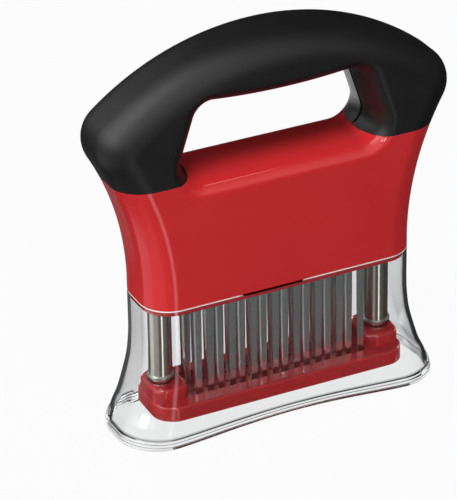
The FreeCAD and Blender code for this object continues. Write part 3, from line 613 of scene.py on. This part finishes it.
def whole_form(name, wall=0.0):
    """Housing and grip in one closed skin, drawn in by a wall."""
    half_depth = HALF_DEPTH - wall
    outside = [(inset + wall, depth) for inset, depth in rounded_rows(EDGE_R - wall, half_depth, EDGE_ROWS)]
    opening = [(inset + wall, depth) for inset, depth in crowned_rows(OPENING_R, half_depth, OPENING_ROWS)]
    beyond = (opening[0][0], HALF_DEPTH + OVERLAP)
    blank = closed_object(spool(outer_outline, outside), name)
    mesh = shaped(blank.data, name, (("DIFFERENCE", spool(opening_outline, [beyond] + opening)),))
    bpy.data.objects.remove(blank)
    return mesh


def above_grip_line():
    return box_between((-REACH, -REACH, GRIP_LINE), (REACH, REACH, 2 * HANDLE_TOP))


def inner_room():
    """Hollow of the housing, from the ledge to the ceiling."""
    slab = box_between((-REACH, -REACH, LEDGE_TOP), (REACH, REACH, CEILING))
    return from_mesh(shaped(whole_form("inner_form", WALL), "room", (("INTERSECT", slab),)))


def red_housing(form):
    """Housing below the grip line, hollow and open at its lip."""
    lip = prism(lip_outline(LIP_INSET), LIP_BOTTOM, BODY_BOTTOM + OVERLAP)
    mouth = prism(lip_outline(LIP_INSET + LIP_WALL), LIP_BOTTOM - OVERLAP, LEDGE_TOP + OVERLAP)
    mesh = shaped(form, "housing", (
        ("DIFFERENCE", above_grip_line()),
        ("UNION", lip),
        ("DIFFERENCE", mouth),
        ("DIFFERENCE", inner_room()),
    ))
    housing = finished_object(from_mesh(mesh), "housing_shell", "red_plastic", "housing")
    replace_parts(housing, "housing")


def grip_halves(form):
    """Black grip above the grip line, as a front and a rear half with a seam between them."""
    seam = prism(opening_outline(SEAM_DEPTH), -SEAM_HALF, SEAM_HALF, upright=True)
    mesh = shaped(form, "grip", (("INTERSECT", above_grip_line()), ("DIFFERENCE", seam)))
    for name, side in (("grip_front", -1), ("grip_rear", 1)):
        bm = from_mesh(mesh)
        geometry = bm.verts[:] + bm.edges[:] + bm.faces[:]
        bmesh.ops.bisect_plane(bm, geom=geometry, dist=PLANE_TOLERANCE, plane_co=(0, 0, 0),
                               plane_no=(0, -side, 0), clear_outer=True)
        bmesh.ops.remove_doubles(bm, verts=bm.verts, dist=MERGE)
        close_holes(bm)
        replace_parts(finished_object(bm, name + "_skin", "grip_rubber", "housing"), name)


def body_and_grip():
    """Red housing and black grip, cut from one form so that they meet flush."""
    form = whole_form("outer_form")
    red_housing(form)
    grip_halves(form)


# ------------------------------------------------------------------ springs

def springs():
    """Two coil springs, from the plugs in the columns up to the ceiling of the housing."""
    steps = SPRING_COILS * COIL_STEPS
    low = PLUG_TOP + SPRING_WIRE
    rise = (CEILING - SPRING_WIRE - low) / steps
    for name, side in (("left", -1), ("right", 1)):
        bm = bmesh.new()
        wire = bmesh.ops.create_circle(bm, segments=WIRE_SIDES, radius=SPRING_WIRE, cap_ends=False,
                                       matrix=Matrix.Rotation(math.pi / 2, 4, "X"))
        bmesh.ops.translate(bm, vec=(SPRING_R, 0, 0), verts=wire["verts"])
        bmesh.ops.spin(bm, geom=bm.edges[:], axis=(0, 0, 1), cent=(0, 0, 0), dvec=(0, 0, rise),
                       angle=SPRING_COILS * 2 * math.pi, steps=steps, use_merge=False)
        close_holes(bm)
        bmesh.ops.translate(bm, vec=(side * COLUMN_X, 0, low), verts=bm.verts)
        spring = finished_object(bm, f"return_spring_{name}", "spring_steel", "housing")
        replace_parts(spring, f"spring_{name}")
        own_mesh(spring)


# ------------------------------------------------------------------ guard

# how sharply the shade of a groove fades, at the rim's foot and between its ribs
FOOT_SHADE_FADE = 2.5
VALLEY_SHADE_FADE = 3.6


def guard_widening(level):
    """How far the guard has widened at a level: a cubic from station to station, smooth across them."""
    stations = GUARD_STATIONS
    for index, ((low, wide), (high, narrow)) in enumerate(zip(stations, stations[1:])):
        if level <= high:
            before = stations[max(index - 1, 0)]
            after = stations[min(index + 2, len(stations) - 1)]
            low_slope = (narrow - before[1]) / (high - before[0])
            high_slope = (after[1] - wide) / (after[0] - low)
            height = high - low
            t = (level - low) / height
            return ((2 * t ** 3 - 3 * t ** 2 + 1) * wide + (t ** 3 - 2 * t ** 2 + t) * height * low_slope
                    + (-2 * t ** 3 + 3 * t ** 2) * narrow + (t ** 3 - t ** 2) * height * high_slope)
    return 0.0


def guard_outline(level, inset):
    """Plan of the guard at a level, drawn in by an inset."""
    flare = guard_widening(level)
    spread = ((BODY_HALF, RIM_HALF_X), (HALF_DEPTH, RIM_HALF_Y), (EDGE_R, RIM_CORNER))
    return plan_outline(*[top + (rim - top) * flare - inset for top, rim in spread])


def rim_rise(x):
    """Height of the arched rim line along the long sides."""
    return ARCH_RISE * max(0.0, 1 - (x / ARCH_HALF) ** 2) ** ARCH_FULLNESS


def rib_reach(level):
    """How far the half-round ribs of the rim stand out at a level."""
    share = 2 * (level / RIB_PITCH % 1) - 1
    return RIB_BASE + RIB_OUT * math.sqrt(max(0.0, 1 - share ** 2))


def groove_shade(level):
    """Painted shade: 1 in the valleys between the rim's ribs and along its foot, 0 on the wall."""
    ribs = level / RIB_PITCH
    if ribs > RIM_RIBS + 0.5:
        return 0.0
    fade = FOOT_SHADE_FADE if ribs < 0.5 else VALLEY_SHADE_FADE
    return max(0.0, 1 - abs(ribs - round(ribs)) * fade)


def notch_drop(x):
    """Depth of the finger notch in the front top edge."""
    reach = max(0.0, 1 - ((x - NOTCH_MIDDLE) / NOTCH_HALF) ** 2)
    return NOTCH_DEPTH * min(1.0, NOTCH_END_SLOPE * reach)


def blade_guard():
    """Clear guard: ribbed rim and wall outside, a plain wall inside, open at the top and the foot."""
    bm = bmesh.new()
    groove = bm.verts.layers.float.new(GROOVE)
    steps = RIM_RIBS * RIB_ROWS
    rim_top = RIM_RIBS * RIB_PITCH
    rim = [rim_top * step / steps for step in range(steps)]
    wall = [rim_top + (GUARD_TOP - rim_top) * step / GUARD_ROWS for step in range(GUARD_ROWS + 1)]
    rings = [ring(bm, guard_outline(level, -rib_reach(level)), level) for level in rim]
    rings += [ring(bm, guard_outline(level, 0.0), level) for level in wall]
    # painted shade for the rim's grooves and foot, on the outer vertices only
    for vert in bm.verts:
        vert[groove] = groove_shade(vert.co.z)
    rings += [ring(bm, guard_outline(level, GUARD_WALL), level) for level in reversed([0.0] + wall)]
    bridge(bm, rings)
    bmesh.ops.bridge_loops(bm, edges=rings[-1] + rings[0])
    long_edges = [edge for edge in bm.edges if edge.calc_length() > LONG_SIDE]
    bmesh.ops.subdivide_edges(bm, edges=long_edges, cuts=LONG_SIDE_CUTS)
    for vert in bm.verts:
        fade = max(0.0, 1 - vert.co.z / ARCH_FADE) ** 2
        if vert.co.z > GUARD_TOP - LEVEL_TOLERANCE and vert.co.y < 0:
            vert.co.z -= notch_drop(vert.co.x)
        vert.co.z += rim_rise(vert.co.x) * fade
    return finished_object(bm, "guard_shell", "clear_plastic", "guard", sharp=GUARD_SHARP_EDGE,
                           weighted=False)


# ------------------------------------------------------------------ floor and surroundings

AMBIENT = 0.17
FLOOR_HALF = 4.0
FLOOR_GREY = (0.40, 0.40, 0.40)
FLOOR_WHITE = 0.95

# what polished surfaces mirror around the object, below and above eye level:
# (azimuth from the front in degrees, strength)
LOW_PANELS = (
    (-180, 0.12), (-166, 0.12), (-158, 0.04), (-130, 0.04), (-122, 0.85), (-88, 0.85), (-80, 0.45),
    (-40, 0.42), (-30, 0.10), (-7, 0.10), (-3, 2.2), (4, 2.2), (8, 0.08), (20, 0.12), (40, 0.12),
    (50, 0.05), (165, 0.04), (172, 0.12), (180, 0.12),
)
HIGH_PANELS = (
    (-180, 0.2), (-150, 0.8), (-120, 2.2), (-92, 3.7), (-52, 3.8), (-38, 1.5), (0, 1.4), (28, 1.0),
    (50, 0.4), (70, 0.05), (140, 0.02), (180, 0.02),
)
# how much of the panels shows, by the sine of the angle below or above eye level
LOW_BAND = ((0.0, 0.5), (0.40, 0.6), (0.50, 1.0), (0.70, 1.0), (0.82, 0.12), (1.0, 0.1))
HIGH_BAND = ((0.0, 0.0), (0.40, 1.0), (0.96, 1.0), (1.0, 0.4))
# the low panels give way to the high ones between these sines
HORIZON_LOW = -0.15
HORIZON_HIGH = 0.05


def any_ray(tree, *kinds):
    """1 for rays of the given kinds."""
    path = tree.nodes.new("ShaderNodeLightPath")
    total = path.outputs[kinds[0]]
    for kind in kinds[1:]:
        total = combined(tree, "MAXIMUM", total, path.outputs[kind])
    return total


def mirrored_ray(tree):
    """1 for rays that a polished surface has turned back; one bent through the guard counts as 0."""
    path = tree.nodes.new("ShaderNodeLightPath")
    return combined(tree, "GREATER_THAN", path.outputs["Glossy Depth"], 0.5)


def floor_finish():
    """White to the eye, grey to the lamps; clear to mirrored rays and from below."""
    material = bpy.data.materials.new("floor")
    material.use_nodes = True
    tree = material.node_tree
    tree.nodes.clear()
    output = tree.nodes.new("ShaderNodeOutputMaterial")
    white = tree.nodes.new("ShaderNodeMixShader")
    surface = tree.nodes.new("ShaderNodeMixShader")
    lit = tree.nodes.new("ShaderNodeBsdfDiffuse")
    glow = tree.nodes.new("ShaderNodeEmission")
    clear = tree.nodes.new("ShaderNodeBsdfTransparent")
    side = tree.nodes.new("ShaderNodeNewGeometry")
    lit.inputs["Color"].default_value = (*FLOOR_GREY, 1)
    seen = any_ray(tree, "Is Camera Ray", "Is Glossy Ray", "Is Transmission Ray")
    tree.links.new(combined(tree, "MULTIPLY", seen, FLOOR_WHITE), white.inputs["Fac"])
    tree.links.new(lit.outputs[0], white.inputs[1])
    tree.links.new(glow.outputs[0], white.inputs[2])
    through = combined(tree, "MAXIMUM", mirrored_ray(tree), side.outputs["Backfacing"])
    tree.links.new(through, surface.inputs["Fac"])
    tree.links.new(white.outputs[0], surface.inputs[1])
    tree.links.new(clear.outputs[0], surface.inputs[2])
    tree.links.new(surface.outputs[0], output.inputs["Surface"])
    return material


def stage():
    """Pale floor that keeps the object's shadow."""
    bm = bmesh.new()
    bmesh.ops.create_grid(bm, x_segments=1, y_segments=1, size=FLOOR_HALF)
    floor = placed_object(bm, "floor")
    floor.data.materials.append(floor_finish())


def graded(tree, value, stops):
    """A strength by a value, through (place, strength) stops."""
    return ramp(tree, value, [(place, (strength, strength, strength)) for place, strength in stops])


def panels(tree):
    """Strength of the surroundings by direction: upright panels below eye level, a soft arc above it."""
    place = tree.nodes.new("ShaderNodeTexCoord")
    split = tree.nodes.new("ShaderNodeSeparateXYZ")
    tree.links.new(place.outputs["Generated"], split.inputs["Vector"])
    forward = combined(tree, "MULTIPLY", split.outputs["Y"], -1.0)
    turn = combined(tree, "ARCTAN2", split.outputs["X"], forward)
    share = span(tree, turn, start=-math.pi, end=math.pi)
    height = split.outputs["Z"]
    strengths = []
    for stops, band, up in ((LOW_PANELS, LOW_BAND, -1.0), (HIGH_PANELS, HIGH_BAND, 1.0)):
        around = graded(tree, share, [((azimuth + 180) / 360, strength) for azimuth, strength in stops])
        along = graded(tree, combined(tree, "MULTIPLY", height, up), band)
        strengths.append(combined(tree, "MULTIPLY", around, along))
    level = span(tree, height, start=HORIZON_LOW, end=HORIZON_HIGH)
    return blended(tree, level, *strengths)


def world():
    """White behind the object, a dim even light on it, and the panels in its polished surfaces."""
    scene = bpy.context.scene
    scene.world = bpy.data.worlds.new("studio")
    scene.world.use_nodes = True
    tree = scene.world.node_tree
    background = tree.nodes["Background"]
    background.inputs["Color"].default_value = (1, 1, 1, 1)
    seen = span(tree, any_ray(tree, "Is Camera Ray", "Is Transmission Ray"), AMBIENT, 1.0)
    strength = blended(tree, mirrored_ray(tree), seen, panels(tree))
    tree.links.new(strength, background.inputs["Strength"])


# ------------------------------------------------------------------ lamps

# points that the lamps look at, in metres
MIDDLE = Vector((0.0, 0.0, 0.12))
LEG_FACE = Vector((0.054, 0.008, 0.17))

# azimuth from the front and height in degrees, distance and width in metres, power in watts
SOFTBOXES = {
    "key": (-37, 64, 1.3, 0.45, 16.5),
    "left_fill": (-78, 9, 1.4, 0.6, 14.0),
    "front_fill": (0, 8, 1.6, 0.8, 8.0),
    "rear_fill": (180, 6, 1.6, 0.8, 16.0),
    "right_fill": (98, 6, 1.6, 0.8, 12.0),
}
# the piece that mirrors the lamp, the point that it looks at, and the same values as above
GLINTS = {
    "edge_sheen": ("housing_shell", MIDDLE, 76, 69, 1.28, 0.09, 0.16),
    "window_left": ("housing_shell", MIDDLE, -31, 30, 1.3, 0.15, 1.3),
    "window_right": ("housing_shell", MIDDLE, -19, 16, 1.3, 0.15, 1.3),
    "leg_glow": ("grip_rear_skin", LEG_FACE, 185, -37, 0.20, 0.15, 0.10),
}


def lamp(name, middle, azimuth, height, distance, width, power):
    """Square lamp that looks at a point, placed around it by azimuth and height."""
    turn = math.radians(azimuth)
    rise = math.radians(height)
    away = Vector((math.sin(turn) * math.cos(rise), -math.cos(turn) * math.cos(rise), math.sin(rise)))
    data = bpy.data.lights.new(name, "AREA")
    data.shape = "SQUARE"
    data.size = width
    data.energy = power
    light = bpy.data.objects.new(name, data)
    light.location = middle + distance * away
    light.rotation_euler = (-away).to_track_quat("-Z", "Y").to_euler()
    light.visible_camera = False
    bpy.context.scene.collection.objects.link(light)
    return light


def softboxes():
    """Lamps that light the object and that its polished surfaces don't mirror."""
    for name, setting in SOFTBOXES.items():
        lamp(name, MIDDLE, *setting).visible_glossy = False


def glints():
    """Small lamps that show only as a highlight on one piece each."""
    for name, (piece, *setting) in GLINTS.items():
        light = lamp(name, *setting)
        light.visible_diffuse = False
        light.visible_transmission = False
        lit = bpy.data.collections.new(name)
        lit.objects.link(bpy.data.objects[piece])
        light.light_linking.receiver_collection = lit


# ------------------------------------------------------------------ camera

# angles in degrees, lengths in millimetres
CAMERA_YAW = 25.557
CAMERA_PITCH = 28.812
CAMERA_ROLL = -1.0375
CAMERA_DISTANCE = 1665.0
CAMERA_TARGET = Vector((-23.270, 0.0, 93.928))
SENSOR_WIDTH = 36.0

# focal length in pixels and the longer side of the picture, and how far the camera sees in metres
FOCAL_PIXELS = 3169.87
PICTURE_SIDE = 500
CAMERA_RANGE = 20.0


def camera():
    yaw = -math.radians(CAMERA_YAW)
    pitch = math.radians(CAMERA_PITCH)
    roll = math.radians(CAMERA_ROLL)
    back = Vector((math.sin(yaw) * math.cos(pitch), -math.cos(yaw) * math.cos(pitch), math.sin(pitch)))
    level = Vector((math.cos(yaw), math.sin(yaw), 0.0))
    up = back.cross(level)
    right = math.cos(roll) * level + math.sin(roll) * up
    above = -math.sin(roll) * level + math.cos(roll) * up
    data = bpy.data.cameras.new("camera")
    data.sensor_width = SENSOR_WIDTH
    data.lens = FOCAL_PIXELS * SENSOR_WIDTH / PICTURE_SIDE
    data.clip_end = CAMERA_RANGE
    view = bpy.data.objects.new("camera", data)
    turn = Matrix((right, above, back)).transposed().to_4x4()
    view.matrix_world = Matrix.Translation((CAMERA_TARGET + CAMERA_DISTANCE * back) * MM) @ turn
    bpy.context.scene.collection.objects.link(view)
    bpy.context.scene.camera = view


# ------------------------------------------------------------------ assembly

def cad_nodes():
    """Finish of every CAD node, by its slot in the record."""
    slots = {entry["node"]: entry["material_slot"] for entry in frame["record"]["subparts"]}
    for name, node in frame["nodes"].items():
        finish(node, slots[name])


body_and_grip()
springs()
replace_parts(blade_guard(), "blade_guard")
cad_nodes()
stage()
world()
softboxes()
glints()
camera()
bpy.context.scene.view_settings.view_transform = "Standard"
